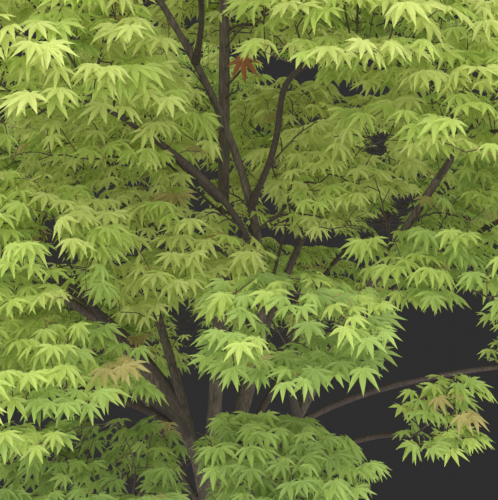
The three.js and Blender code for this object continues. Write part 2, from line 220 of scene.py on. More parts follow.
def makeBough(mass, limb, index):
    t, start, entry, way = leavingPoint(limb, mass)
    bow = up * boughSizes["arch"] * way.length
    sway = Vector((-way.y, way.x, 0)) * boughSizes["sway"] * (1 if index % 2 else -1)
    foot = min(boughSizes["radii"][0], boughSizes["thickestShare"] * mix(*limb["radii"], t))
    return makeLimb(mass["name"], mass["name"], start, entry, bow, sway, (foot, boughSizes["radii"][1]))


def makeTrunk():
    sizes = trunkSizes
    return makeLimb("trunk", None, (0, 0, 0), sizes["fork"], sizes["bow"], (0, 0, 0), sizes["radii"])


def growLimbs(masses):
    byName = {mass["name"]: mass for mass in masses}
    carriers = {"trunk": makeTrunk()}
    for name, massName, foot, bow, sway, radii in stemRows:
        tip = entryPoint(byName[massName], Vector(foot))
        carriers[name] = makeLimb(name, massName, foot, tip, bow, (sway, sway, 0), radii)
    stemEnds = {row[1] for row in stemRows}
    withBough = [mass for mass in masses if not mass["direct"] and mass["name"] not in stemEnds]
    boughs = [makeBough(mass, carriers[mass["stem"]], i) for i, mass in enumerate(withBough)]
    return carriers, boughs


# Twigs: the solids' own places first, then finer ones, each joined to the nearest twig grown so far

growth = {
    "seed": 40,
    "places": 33,  # of the coarse twigs, in a mass whose half sizes multiply to a cubic metre
    "leastPlaces": 2,
    "tries": 24,
    "flatness": 2.2,  # how many times farther a distance counts upwards than sideways
    "inset": (0.75, 0.75, 0.3),  # in lengths of the solids' leaves
    "detour": 0.35,  # how much the way along the twigs counts against the straight distance
    "leafOfMass": 0.52,
    "leafLengths": (100, 175),
    "stub": 16,
    "aimFrom": 0.8,  # share of a limb from which its end's heading is taken
}
fineGrowth = {
    "perArea": 560,  # finer twigs in each square metre of a mass, seen from above
    "denser": {  # how much denser or thinner some masses are
        "inner-high": 1.4, "inner-right": 1.6, "inner-back": 1.6, "high-back": 1.15, "near-right": 1.1,
        "front": 0.8, "low-front-left": 0.88, "foot-front-left": 0.88,
    },
    "tierSpacing": 80,  # between the layers that a mass's sprays lie in
    "leastTiers": 2,
    "tierSpan": (-0.62, 0.8),
    # where the lowest layer lies in the masses that fill the crown's inside
    "lowest": {"inner-back": -0.95, "inner-right": -0.85, "inner-left": -0.8},
    "doming": 0.8,  # how much lower a layer lies towards its edge
    "droop": 0.34,  # how far a layer's edge hangs, as a share of the mass's half height
    "looseness": 0.22,  # how far a spray may lie off its layer, as a share of the mass's half height
    "underTop": 25,  # how far the highest layer stays below the crown's top
    "lobes": (3, 6),  # how many bays a layer's outline has
    "bay": 0.16,  # how deep they are
    "inset": (42, 42, 16),
    "tries": 6,
    "step": 26,  # length of one piece of a twig
    "arch": 0.09,
    "bend": 0.16,
    "tipRadius": 0.75,
    "thickening": 0.37,
    "rootShare": 0.9,  # of the radius of the limb that the twig goes on from
    "sharpest": 70,  # degrees by which one twig may turn at a fork
}


def twigPlaces(mass, random):
    half = mass["half"]
    leafLength = min(max(growth["leafOfMass"] * min(half.x, half.y), growth["leafLengths"][0]),
                     growth["leafLengths"][1])
    room = Vector(half[i] - growth["inset"][i] * leafLength for i in range(3))
    size = math.sqrt(half.x * half.y * half.z / cubicMetre)
    count = max(growth["leastPlaces"], round(growth["places"] * size))
    chosen = []
    while len(chosen) < count:
        best = None
        for _ in range(growth["tries"]):
            turn = 2 * math.pi * random()
            rise = 2 * random() - 1
            out = random() ** (1 / 3)
            flat = out * math.sqrt(1 - rise * rise)
            local = Vector((flat * math.cos(turn), flat * math.sin(turn), out * rise)) * room
            at = turned(local, mass["heading"]) + mass["centre"]
            space = min([growth["flatness"] * half.x] + [apart(other, at) for other in chosen])
            if best is None or space > best[0]:
                best = (space, at)
        chosen.append(best[1])
    return chosen


def apart(p, q):
    return math.hypot(p.x - q.x, p.y - q.y, growth["flatness"] * (p.z - q.z))


def inReach(places, beyond):
    # which places lie within the solids' own reach, give or take that much
    low, high = (np.array(corner) / mm for corner in cadBox)
    return (places > low - beyond).all(-1) & (places < high + beyond).all(-1)


def tierSpan(mass, room):
    # how high the mass's lowest and highest layer lie, as shares of its room
    top = (cadBox[1][2] / mm - fineGrowth["underTop"] - mass["centre"].z) / room.z
    lowest = fineGrowth["lowest"].get(mass["name"], fineGrowth["tierSpan"][0])
    return lowest, min(fineGrowth["tierSpan"][1], top)


def sprayCount(mass):
    area = math.pi * mass["half"].x * mass["half"].y / squareMetre
    return round(fineGrowth["perArea"] * fineGrowth["denser"].get(mass["name"], 1) * area)


def placeInLayer(tier, lobes, phase, random):
    turn = 2 * math.pi * random()
    bay = fineGrowth["bay"] * (1 + math.cos(lobes * turn + phase)) / 2
    out = math.sqrt(random()) * (1 - bay)
    level = tier * math.sqrt(1 - fineGrowth["doming"] * out * out) - fineGrowth["droop"] * out * out
    return Vector((out * math.cos(turn), out * math.sin(turn), level))


def sprayPlaces(mass, random):
    room = Vector(mass["half"][i] - fineGrowth["inset"][i] for i in range(3))
    tiers = max(fineGrowth["leastTiers"], round(2 * mass["half"].z / fineGrowth["tierSpacing"]))
    span = tierSpan(mass, room)
    lobes = int(mix(*fineGrowth["lobes"], random()))
    phase = 2 * math.pi * random()
    chosen = np.empty((0, 3))
    for _ in range(sprayCount(mass)):
        tier = mix(*span, int(random() * tiers) / (tiers - 1)) + centred(random) * fineGrowth["looseness"]
        best = None
        for _ in range(fineGrowth["tries"]):
            local = placeInLayer(tier, lobes, phase, random) * room
            at = np.array(turned(local, mass["heading"]) + mass["centre"])
            gaps = (chosen - at) * (1, 1, growth["flatness"])
            space = (gaps ** 2).sum(1).min() if len(chosen) else 0
            if best is None or space > best[0]:
                best = (space, at)
        chosen = np.vstack([chosen, best[1]])
    return chosen[inReach(chosen, 0)]


def growTo(nodes, targets, random, fromPlaces):
    # joins the targets one by one, the cheapest to reach first
    targets = np.array(targets)
    cost = np.full(len(targets), np.inf)
    parent = np.zeros(len(targets), int)
    waiting = np.full(len(targets), True)
    weighed = 0
    while waiting.any():
        for index in range(weighed, len(nodes)):
            node = nodes[index]
            if node["place"] or not fromPlaces:
                reach = np.linalg.norm(targets - node["at"], axis=1) + growth["detour"] * node["way"]
                nearer = waiting & (reach < cost)
                cost[nearer] = reach[nearer]
                parent[nearer] = index
        weighed = len(nodes)
        target = int(np.argmin(np.where(waiting, cost, np.inf)))
        waiting[target] = False
        addTwig(nodes, int(parent[target]), Vector(targets[target]), random)


def addTwig(nodes, parent, target, random):
    start = nodes[parent]["at"]
    way = target - start
    pieces = max(1, round(way.length / fineGrowth["step"]))
    aside = Vector((-way.y, way.x, 0)) * fineGrowth["bend"] * centred(random)
    bow = aside + up * fineGrowth["arch"] * way.length
    for i in range(1, pieces + 1):
        t = i / pieces
        nodes.append(makeNode(start + way * t + bow * 4 * t * (1 - t), parent,
                              nodes[parent]["way"] + way.length / pieces, place=i == pieces))
        parent = len(nodes) - 1


def makeNode(at, parent, way, place):
    return {"at": at, "parent": parent, "way": way, "place": place, "load": 0, "next": []}


def massRoot(mass, carriers, boughs):
    if mass["direct"]:
        _, start, entry, _ = leavingPoint(carriers[mass["stem"]], mass)
        return start, entry, boughSizes["radii"][1]
    limb = next(limb for limb in [*carriers.values(), *boughs] if limb["mass"] == mass["name"])
    along = (limb["tip"] - pointOn(limb, growth["aimFrom"])).normalized()
    return limb["tip"], limb["tip"] + along * growth["stub"], fineGrowth["rootShare"] * limb["radii"][1]


def growMass(mass, carriers, boughs):
    random = seeded(growth["seed"] + mass["index"])
    foot, neck, rootRadius = massRoot(mass, carriers, boughs)
    nodes = [makeNode(foot, None, 0, False), makeNode(neck, 0, 0, True)]
    growTo(nodes, twigPlaces(mass, random), random, fromPlaces=True)
    growTo(nodes, sprayPlaces(mass, random), random, fromPlaces=False)
    addLoads(nodes)
    for node in nodes:
        node["radius"] = min(fineGrowth["tipRadius"] * node["load"] ** fineGrowth["thickening"], rootRadius)
    return nodes


def addLoads(nodes):
    # how many tips each piece of twig carries, and which pieces go on from it
    for index in range(len(nodes) - 1, 0, -1):
        node = nodes[index]
        node["load"] = max(1, node["load"])
        nodes[node["parent"]]["load"] += node["load"]
        nodes[node["parent"]]["next"].append(index)


def turnAt(nodes, before, at, after):
    incoming = nodes[at]["at"] - nodes[before]["at"]
    outgoing = nodes[after]["at"] - nodes[at]["at"]
    return math.degrees(incoming.angle(outgoing, 0))


def twigRows(nodes):
    # one row of pieces for each twig: at a fork it goes on along the strongest branch that isn't too sharp
    rows = []
    starts = [(None, 0)]
    while starts:
        before, at = starts.pop()
        row = [at] if before is None else [before, at]
        while nodes[at]["next"]:
            ahead = [i for i in nodes[at]["next"]
                     if len(row) < 2 or turnAt(nodes, row[-2], at, i) < fineGrowth["sharpest"]]
            follow = max(ahead, key=lambda i: nodes[i]["load"], default=None)
            starts += [(at, i) for i in nodes[at]["next"] if i != follow]
            if follow is None:
                break
            at = follow
            row.append(at)
        rows.append(row)
    return rows


# Node trees

def newTree(name, inputs):
    tree = bpy.data.node_groups.new(name, "GeometryNodeTree")
    tree.interface.new_socket("Geometry", in_out="OUTPUT", socket_type="NodeSocketGeometry")
    tree.interface.new_socket("Geometry", in_out="INPUT", socket_type="NodeSocketGeometry")
    for label, kind in inputs.items():
        tree.interface.new_socket(label, in_out="INPUT", socket_type="NodeSocket" + kind)
    return tree, addNode(tree, "NodeGroupInput").outputs


def addNode(tree, kind, sockets=None, **settings):
    made = tree.nodes.new(kind)
    for name, value in settings.items():
        setattr(made, name, value)
    for name, value in (sockets or {}).items():
        if isinstance(value, bpy.types.NodeSocket):
            tree.links.new(value, made.inputs[name])
        else:
            made.inputs[name].default_value = value
    return made


def outputOf(tree, kind, sockets=None, **settings):
    return addNode(tree, kind, sockets, **settings).outputs[0]


def attribute(tree, name, dataType):
    return outputOf(tree, "GeometryNodeInputNamedAttribute", {"Name": name}, data_type=dataType)


def endTree(tree, geometry, material):
    real = outputOf(tree, "GeometryNodeRealizeInstances", {"Geometry": geometry})
    finished = outputOf(tree, "GeometryNodeSetMaterial", {"Geometry": real, "Material": material})
    addNode(tree, "NodeGroupOutput", {"Geometry": finished})
    return tree


def makeTubeTree():
    tree, given = newTree("tubesAlongTwigs", {"Sides": "Int", "Closed": "Bool", "Material": "Material"})
    line = outputOf(tree, "GeometryNodeMeshToCurve", {"Mesh": given["Geometry"]})
    ring = outputOf(tree, "GeometryNodeCurvePrimitiveCircle", {"Resolution": given["Sides"], "Radius": 1})
    tube = outputOf(tree, "GeometryNodeCurveToMesh", {
        "Curve": line,
        "Profile Curve": ring,
        "Scale": attribute(tree, "radius", "FLOAT"),
        "Fill Caps": given["Closed"],
    })
    return endTree(tree, tube, given["Material"])


def makeReliefTree():
    tree, given = newTree("barkRelief", {
        "Fineness": "Float",
        "Length": "Float",
        "Detail": "Float",
        "Depth": "Float",
        "Material": "Material",
    })
    stretch = outputOf(tree, "ShaderNodeCombineXYZ", {"X": 1, "Y": 1, "Z": given["Length"]})
    place = outputOf(tree, "GeometryNodeInputPosition")
    squeezed = outputOf(tree, "ShaderNodeVectorMath", {0: place, 1: stretch}, operation="MULTIPLY")
    ridges = outputOf(tree, "ShaderNodeTexNoise", {
        "Vector": squeezed, "Scale": given["Fineness"], "Detail": given["Detail"]})
    centre = outputOf(tree, "ShaderNodeMath", {0: ridges, 1: 0.5}, operation="SUBTRACT")
    depth = outputOf(tree, "ShaderNodeMath", {0: centre, 1: given["Depth"]}, operation="MULTIPLY")
    normal = outputOf(tree, "GeometryNodeInputNormal")
    push = outputOf(tree, "ShaderNodeVectorMath", {0: normal, "Scale": depth}, operation="SCALE")
    moved = outputOf(tree, "GeometryNodeSetPosition", {"Geometry": given["Geometry"], "Offset": push})
    return endTree(tree, moved, given["Material"])


def makeLeafTree():
    tree, given = newTree("leavesOnStalks", {
        "Leaves": "Collection", "Length": "Float", "Material": "Material"})
    shapes = outputOf(tree, "GeometryNodeCollectionInfo", {
        "Collection": given["Leaves"], "Separate Children": True, "Reset Children": True})
    facing = outputOf(tree, "FunctionNodeEulerToRotation", {0: attribute(tree, "facing", "FLOAT_VECTOR")})
    size = attribute(tree, "size", "FLOAT")
    length = outputOf(tree, "ShaderNodeMath", {0: size, 1: given["Length"]}, operation="MULTIPLY")
    placed = outputOf(tree, "GeometryNodeInstanceOnPoints", {
        "Points": given["Geometry"],
        "Instance": shapes,
        "Pick Instance": True,
        "Instance Index": attribute(tree, "shape", "INT"),
        "Rotation": facing,
        "Scale": length,
    })
    return endTree(tree, placed, given["Material"])


def useTree(thing, tree, values):
    modifier = thing.modifiers.new(tree.name, "NODES")
    modifier.node_group = tree
    for socket in tree.interface.items_tree:
        if socket.in_out == "INPUT" and socket.name in values:
            modifier[socket.identifier] = values[socket.name]


def newObject(name, mesh):
    thing = bpy.data.objects.new(name, mesh)
    bpy.context.scene.collection.objects.link(thing)
    return thing


def bake(thing, name):
    bpy.context.view_layer.update()
    graph = bpy.context.evaluated_depsgraph_get()
    mesh = bpy.data.meshes.new_from_object(thing.evaluated_get(graph), depsgraph=graph)
    bpy.data.objects.remove(thing)
    mesh.name = name
    return newObject(name, mesh)


def finishPiece(piece, nodes):
    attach(piece, "root")
    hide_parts(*nodes)
    print(piece.name, sum(len(face.vertices) - 2 for face in piece.data.polygons), "triangles")


def lineMesh(name, rows):
    # one loose polyline for each row of (place, radius), in metres
    places = [place * mm for row in rows for place, _ in row]
    radii = [radius * mm for row in rows for _, radius in row]
    edges = []
    start = 0
    for row in rows:
        edges += [(start + i, start + i + 1) for i in range(len(row) - 1)]
        start += len(row)
    mesh = bpy.data.meshes.new(name)
    mesh.from_pydata(places, edges, [])
    mesh.attributes.new("radius", "FLOAT", "POINT").data.foreach_set("value", radii)
    return mesh


# Materials

def newMaterial(name):
    material = bpy.data.materials.new(name)
    material.use_nodes = True
    material.node_tree.nodes.clear()
    return material, material.node_tree


def endMaterial(tree, shader):
    addNode(tree, "ShaderNodeOutputMaterial", {"Surface": shader})


mixSockets = {"a": 6, "b": 7, "result": 2}  # a Mix node's sockets for colours, by number


def mixColour(tree, factor, a, b):
    made = addNode(tree, "ShaderNodeMix", {
        "Factor": factor, mixSockets["a"]: a, mixSockets["b"]: b}, data_type="RGBA")
    return made.outputs[mixSockets["result"]]


def mapRange(tree, value, span, low=0, high=1):
    # the value's span drawn out to the range from low to high
    return outputOf(tree, "ShaderNodeMapRange", {
        "Value": value, "From Min": span[0], "From Max": span[1], "To Min": low, "To Max": high})


def addNoise(tree, place, scale, detail, grain=0.5):
    return outputOf(tree, "ShaderNodeTexNoise", {
        "Vector": place, "Scale": scale, "Detail": detail, "Roughness": grain})


barkFinish = {
    "dark": (0.032, 0.023, 0.017, 1),
    "pale": (0.125, 0.096, 0.070, 1),
    "moss": (0.055, 0.068, 0.032, 1),
    "roughness": 0.86,
    "fissures": 260,
    "fissureLength": 0.16,
    "fissureDetail": 5,
    "fissureGrain": 0.6,
    "turnsPale": (0.35, 0.7),  # values of the fissures' noise between which the bark turns from dark to pale
    "patches": 14,
    "patchDetail": 3,
    "turnsMossy": (0.55, 0.8),
    "mossShare": 0.6,
    "bump": 0.35,
    "bumpHeight": 0.002,
}
# painted shade: the boughs' bark is darker than the trunk's and the stems', for the shade they lie in inside
# the crown
boughPaintedShadeFinish = dict(barkFinish, dark=(0.024, 0.016, 0.013, 1), pale=(0.078, 0.054, 0.043, 1))
twigFinish = dict(barkFinish, dark=(0.030, 0.019, 0.015, 1), pale=(0.090, 0.062, 0.045, 1), bump=0.1)
stalkFinish = dict(barkFinish, dark=(0.24, 0.10, 0.045, 1), pale=(0.26, 0.28, 0.07, 1),
                   moss=(0.2, 0.3, 0.06, 1), roughness=0.5, fissures=40, bump=0.05)


def barkMaterial(name, finish):
    material, tree = newMaterial(name)
    place = addNode(tree, "ShaderNodeTexCoord").outputs["Object"]
    stretch = (1, 1, finish["fissureLength"])
    drawn = outputOf(tree, "ShaderNodeMapping", {"Vector": place, "Scale": stretch})
    fissures = addNoise(tree, drawn, finish["fissures"], finish["fissureDetail"], finish["fissureGrain"])
    patches = addNoise(tree, place, finish["patches"], finish["patchDetail"])
    colour = mixColour(tree, mapRange(tree, fissures, finish["turnsPale"]), finish["dark"], finish["pale"])
    mossy = mapRange(tree, patches, finish["turnsMossy"], high=finish["mossShare"])
    colour = mixColour(tree, mossy, colour, finish["moss"])
    bump = outputOf(tree, "ShaderNodeBump", {
        "Strength": finish["bump"], "Distance": finish["bumpHeight"], "Height": fissures})
    endMaterial(tree, outputOf(tree, "ShaderNodeBsdfPrincipled", {
        "Base Color": colour, "Roughness": finish["roughness"], "Normal": bump}))
    return material


leafColours = {
    "pale": (0.62, 0.68, 0.22),
    "bright": (0.51, 0.62, 0.16),
    "mid": (0.38, 0.50, 0.13),
    "deep": (0.26, 0.36, 0.09),
    "bronze": (0.46, 0.40, 0.15),
    "dry": (0.40, 0.17, 0.075),
}
leafFinish = {
    "through": 0.58,  # share of the light that a blade lets through
    "roughness": 0.52,
    "specular": 0.3,
    "rib": 0.3,  # how far the rib's colour goes to the paler one
    "ribWidth": 0.22,
    "ribPaler": 1.35,
    "ribLift": 0.02,
    "mottles": 38,
    "mottleDetail": 3,
    "turnsMottled": (0.35, 0.65),
    "mottling": 0.22,
    "mottleDarker": 0.62,
    "veins": 3.2,
    "veinBend": 1.5,
    "bump": 0.15,
    "bumpHeight": 0.0006,
}


def leafMaterial(name):
    finish = leafFinish
    base = (*leafColours[name], 1)
    darker = (*(finish["mottleDarker"] * value for value in leafColours[name]), 1)
    paler = (*(min(1, finish["ribPaler"] * value + finish["ribLift"]) for value in leafColours[name]), 1)
    material, tree = newMaterial("leaf-" + name)
    lobe = outputOf(tree, "ShaderNodeUVMap", uv_map="lobe")
    across = outputOf(tree, "ShaderNodeSeparateXYZ", {0: lobe})
    place = addNode(tree, "ShaderNodeTexCoord").outputs["Object"]
    mottles = addNoise(tree, place, finish["mottles"], finish["mottleDetail"])
    mottled = mapRange(tree, mottles, finish["turnsMottled"], high=finish["mottling"])
    colour = mixColour(tree, mottled, base, darker)
    rib = mapRange(tree, across, (0, finish["ribWidth"]), finish["rib"], 0)
    colour = mixColour(tree, rib, colour, paler)
    veins = addNode(tree, "ShaderNodeTexWave", {
        "Vector": lobe, "Scale": finish["veins"], "Distortion": finish["veinBend"]}).outputs["Fac"]
    bump = outputOf(tree, "ShaderNodeBump", {
        "Strength": finish["bump"], "Distance": finish["bumpHeight"], "Height": veins})
    blade = outputOf(tree, "ShaderNodeBsdfPrincipled", {
        "Base Color": colour,
        "Roughness": finish["roughness"],
        "Specular IOR Level": finish["specular"],
        "Normal": bump,
    })
    glow = outputOf(tree, "ShaderNodeBsdfTranslucent", {"Color": colour})
    endMaterial(tree, outputOf(tree, "ShaderNodeMixShader", {0: finish["through"], 1: blade, 2: glow}))
    return material


# Trunk and stems: one skin over all of them, with root flare, blended forks and bark relief

limbSkin = {
    "voxel": 0.0034,
    "kept": 0.35,  # share of the skin's faces that stay
    "smoothing": 4,
    "stemSides": 14,
    "stemPiece": 14,
    "leastPieces": 4,
    "relief": {"Fineness": 120, "Length": 0.14, "Detail": 3, "Depth": 0.0022},
    "levelled": 0.0024,  # what lies lower is part of the flat cut at the ground
}


def girthOf(t, centre, angle):
    # the trunk's radius at one share of its height, in one direction
    closing = max(0, (t - trunkSizes["roundedFrom"]) / (1 - trunkSizes["roundedFrom"]))
    section = math.sqrt(max(trunkSizes["closed"], 1 - closing ** 2))
    flare = flareSizes["spread"] * math.exp(-centre.z / flareSizes["height"])
    ridge = 1 + flareSizes["ridgeDepth"] * math.cos(flareSizes["ridges"] * angle)
    wave = math.sin(trunkSizes["flutes"] * angle + trunkSizes["fluteTwist"] * t)
    flutes = 1 + trunkSizes["fluting"] * wave * (1 - t)
    return mix(*trunkSizes["radii"], t) * flutes * section + flare * ridge


def trunkMesh(trunk):
    # rings from the flat cut up to a rounded fork
    rings = round(trunkSizes["fork"][2] / trunkSizes["ring"])
    sides = trunkSizes["sides"]
    points = []
    for ring in range(rings + 1):
        t = ring / rings
        centre = pointOn(trunk, t)
        for side in range(sides):
            angle = 2 * math.pi * side / sides
            girth = girthOf(t, centre, angle)
            points.append((centre + Vector((math.cos(angle), math.sin(angle), 0)) * girth) * mm)
    faces = [tuple(range(sides - 1, -1, -1)), tuple(range(rings * sides, (rings + 1) * sides))]
    for ring in range(rings):
        for side in range(sides):
            a = ring * sides + side
            b = ring * sides + (side + 1) % sides
            faces.append((a, b, b + sides, a + sides))
    mesh = bpy.data.meshes.new("trunk")
    mesh.from_pydata(points, [], faces)
    return mesh


def limbRow(limb, piece):
    count = max(limbSkin["leastPieces"], round((limb["tip"] - limb["foot"]).length / piece))
    return [(pointOn(limb, i / count), mix(*limb["radii"], i / count)) for i in range(count + 1)]


def shadeSmooth(piece):
    piece.data.polygons.foreach_set("use_smooth", [True] * len(piece.data.polygons))


def makeStems(stems, tubes, material):
    tubing = newObject("stems", lineMesh("stems", [limbRow(limb, limbSkin["stemPiece"]) for limb in stems]))
    useTree(tubing, tubes, {"Sides": limbSkin["stemSides"], "Closed": True, "Material": material})
    return bake(tubing, "stems")


def makeLimbs(carriers, tubes, relief, material):
    tubing = makeStems([limb for name, limb in carriers.items() if name != "trunk"], tubes, material)
    skin = newObject("limbs", trunkMesh(carriers["trunk"]))
    with bpy.context.temp_override(active_object=skin, selected_editable_objects=[skin, tubing]):
        bpy.ops.object.join()
    remesh = skin.modifiers.new("skin", "REMESH")
    remesh.mode = "VOXEL"
    remesh.voxel_size = limbSkin["voxel"]
    smooth = skin.modifiers.new("soften", "SMOOTH")
    smooth.iterations = limbSkin["smoothing"]
    useTree(skin, relief, dict(limbSkin["relief"], Material=material))
    thin = skin.modifiers.new("thin", "DECIMATE")
    thin.ratio = limbSkin["kept"]
    skin = bake(skin, "trunk-and-stems")
    for vertex in skin.data.vertices:
        if vertex.co.z < limbSkin["levelled"]:
            vertex.co.z = 0
    shadeSmooth(skin)
    finishPiece(skin, [name if name == "trunk" else "stem-" + name for name in carriers])


# Boughs: tapering tubes with a collar where they leave their stem

boughSkin = {
    "sides": 9,
    "piece": 11,
    "collar": 3.2,
    "collarFrom": 9,  # how far along the bough the collar starts to fade
    "collarFade": 16,
    "relief": {"Fineness": 170, "Length": 0.3, "Detail": 3, "Depth": 0.0011},
}


def collaredRow(limb):
    length = (limb["tip"] - limb["foot"]).length
    row = limbRow(limb, boughSkin["piece"])
    collared = []
    for i, (place, radius) in enumerate(row):
        beyond = max(0.0, i / (len(row) - 1) * length - boughSkin["collarFrom"])
        collared.append((place, radius + boughSkin["collar"] * math.exp(-beyond / boughSkin["collarFade"])))
    return collared


def makeBoughs(boughs, tubes, relief, material):
    piece = newObject("boughs", lineMesh("boughs", [collaredRow(limb) for limb in boughs]))
    useTree(piece, tubes, {"Sides": boughSkin["sides"], "Closed": True, "Material": material})
    useTree(piece, relief, dict(boughSkin["relief"], Material=material))
    piece = bake(piece, "boughs")
    shadeSmooth(piece)
    finishPiece(piece, ["bough-" + limb["name"] for limb in boughs])


# Bare twigs: old wood that the photo shows in front of the leaves, and the leaves left off to show it

bareTwigs = (
    # limb it leaves, how far along it, where the twig ends, radius at its foot
    ("stem-leader", 0.50, (103, -140, 1382), 3.2),
    ("stem-leader", 0.545, (57, -90, 1434), 2.4),
    ("stem-leader", 0.485, (35, -70, 1306), 2.8),
    ("stem-crossing", 0.60, (-61, -230, 1356), 2.6),
    ("stem-crossing", 0.45, (-5, -210, 1143), 2.4),
    ("bough-near-right", 0.12, (157, -300, 1266), 2.4),
    ("bough-near-left", 0.15, (111, -240, 1113), 2.4),
    ("bough-near-left", 0.20, (-27, -260, 1114), 2.4),
    ("stem-left", 0.50, (-291, -300, 1100), 3.2),
    ("stem-right", 0.65, (386, -300, 1113), 2.4),
    ("stem-right", 0.60, (251, -280, 1173), 2.2),
)
shownLimbs = (("stem-leader", 0.4, 0.64), ("stem-crossing", 0.5, 0.76), ("bough-near-left", 0.4, 0.65))
clearings = (  # centre and half sizes of the hollows between sprays that the photo shows
    ((-150, -430, 780), (130, 290, 72)),
)
openings = (  # places where the photo shows dark through the crown, and how far from each the leaves stay
    ((295, 35, 1200), 36),
    ((-79, -23, 873), 34),
    ((342, 15, 1088), 28),
    ((93, -28, 843), 25),
    ((135, -15, 918), 24),
    ((200, -26, 854), 23),
)
bareWood = {
    "piece": 12,
    "tip": 0.9,  # radius
    "bow": 0.07,
    "wander": 2.5,
    "leastPieces": 2,
    "offshoots": (0.35, 0.55, 0.75),  # how far along a twig its side shoots stand
    "offshootLength": (16, 42),
    "offshootTurn": (30, 55),
    "offshootShare": 0.7,  # of the twig's radius
    "seed": 77,
    "sight": 18,  # how near to the line from the camera to bare wood a leaf's middle may be
    "ahead": 12,  # how far before the wood a leaf has to hang to be in the way
    "twigSteps": 10,  # how closely the wood is tested
    "limbSteps": 20,
}


def namedLimbs(carriers, boughs):
    limbs = {name if name == "trunk" else "stem-" + name: limb for name, limb in carriers.items()}
    limbs.update({"bough-" + limb["name"]: limb for limb in boughs})
    return limbs


def bareRow(foot, tip, radius, random):
    way = tip - foot
    count = max(bareWood["leastPieces"], round(way.length / bareWood["piece"]))
    bow = up * bareWood["bow"] * way.length
    row = []
    for i in range(count + 1):
        t = i / count
        aside = Vector((centred(random), 0, centred(random))) * bareWood["wander"] * min(1, i)
        row.append((foot + way * t + bow * 4 * t * (1 - t) + aside, mix(radius, bareWood["tip"], t)))
    return row


def bareRows(limbs):
    random = seeded(bareWood["seed"])
    rows = []
    for name, t, tip, radius in bareTwigs:
        row = bareRow(pointOn(limbs[name], t), Vector(tip), radius, random)
        rows.append(row)
        for side, share in enumerate(bareWood["offshoots"]):
            at, thickness = row[round(share * (len(row) - 1))]
            turn = math.radians(mix(*bareWood["offshootTurn"], random())) * (1 if side % 2 else -1)
            along = Matrix.Rotation(turn, 3, "Y") @ (row[-1][0] - row[0][0]).normalized()
            length = mix(*bareWood["offshootLength"], random())
            rows.append(bareRow(at, at + along * length, bareWood["offshootShare"] * thickness, random))
    return rows


def inClearing(leaf):
    return any(Vector((leaf["middle"][i] - centre[i]) / half[i] for i in range(3)).length < 1
               for centre, half in clearings)


def alongSight(middles, place):
    # how far the middles lie ahead of a place, towards the camera, and how far beside that line
    sight = np.array((cameraPlace() / mm - place).normalized())
    away = middles - np.array(place)
    ahead = away @ sight
    return ahead, np.linalg.norm(away - ahead[:, None] * sight, axis=1)


def shownPlaces(limbs):
    places = []
    for name, t, tip, _ in bareTwigs:
        steps = bareWood["twigSteps"]
        places += [pointOn(limbs[name], t).lerp(Vector(tip), i / steps) for i in range(steps + 1)]
    for name, low, high in shownLimbs:
        steps = bareWood["limbSteps"]
        places += [pointOn(limbs[name], mix(low, high, i / steps)) for i in range(steps + 1)]
    return places


def inSight(leaves, limbs):
    # the leaves that leave the bare twigs and the shown limbs in sight of the camera
    middles = np.array([leaf["middle"] for leaf in leaves])
    clear = np.full(len(leaves), True)
    for place in shownPlaces(limbs):
        ahead, miss = alongSight(middles, place)
        clear &= (ahead < bareWood["ahead"]) | (miss > bareWood["sight"])
    for place, width in openings:
        clear &= alongSight(middles, Vector(place))[1] > width
    return [leaf for leaf, kept in zip(leaves, clear) if kept and not inClearing(leaf)]


# Twigs

twigSkin = {"sides": 4, "sideShare": 0.7}  # a side twig's foot, as a share of the radius it grows from


def twigLines(nodes):
    lines = []
    for row in twigRows(nodes):
        radii = [nodes[i]["radius"] for i in row]
        if row[0] != 0:
            radii[0] = min(radii[1], twigSkin["sideShare"] * radii[0])
        lines.append(list(zip((nodes[i]["at"] for i in row), radii)))
    return lines


def makeTwigs(grown, bare, tubes, material):
    rows = [line for nodes in grown.values() for line in twigLines(nodes)] + bare
    piece = newObject("twigs", lineMesh("twigs", rows))
    useTree(piece, tubes, {"Sides": twigSkin["sides"], "Closed": True, "Material": material})
    piece = bake(piece, "twigs")
    shadeSmooth(piece)
    finishPiece(piece, ["leaves-" + name for name in grown])


# Leaves: seven pointed lobes, folded along their ribs and drooping at their tips

leafShape = {
    # turn, reach and half width of the middle lobe and of the three on one side
    "lobes": ((0, 1.0, 0.12), (38, 0.94, 0.115), (76, 0.74, 0.095), (122, 0.36, 0)),
    "sinus": (0.36, 0.33, 0.2),  # how far out the cut between two neighbouring lobes ends
    "shoulder": 0.52,  # share of a lobe's reach at which it is widest
    "heelTurn": 20,  # how far the blade's edge goes on past its last lobe
    "heel": 0.1,
    "fold": 0.035,
    "shapes": ((0.10, 0.10), (0.24, 0.16), (0.40, 0.20)),  # droop of the tips, droop of the side lobes
}
lobeMap = {  # across and along a lobe, for the ribs and veins
    "root": (0, 0),
    "heel": (1, 0.1),
    "cut": (1, 0.3),
    "shoulder": (1, 0.55),
    "tip": (0, 1),
}
leafPlacing = {  # millimetres and degrees, unless it says otherwise
    "seed": 1000,
    "length": 0.037,  # of the middle lobe, in metres
    "sizes": (0.78, 1.14),
    "largestLoad": 4,  # leaves grow on twigs that carry up to this many tips
    "stalk": (13, 26),
    "stalkTurn": 58,
    "stalkTurnSpread": 0.6,  # radians
    "stalkRise": 22,
    "stalkRiseSpread": 30,
    "outwards": (0.375, 0.75),  # how far a blade turns from its stalk's heading to the outside of the crown
    "facingSpread": 0.5,  # radians
    "droop": (14, 34),
    "droopSpread": 30,
    "roll": 44,
    "testedTips": ((0, 1), (76, 0.74), (-77, 0.72)),  # turn and reach of the tips that keep to the space
    "tipSag": -0.2,
    "reach": 1.06,  # how far out of its space a tip may hang
    "apart": 0.04,  # how much nearer its own mass than any other a tip stays
    "beyondReach": 10,
    "fromLimb": 16,
    "limbPiece": 25,  # how closely the limbs are tested
    "mostInPiece": 8000,  # which keeps a piece under 200,000 triangles
}


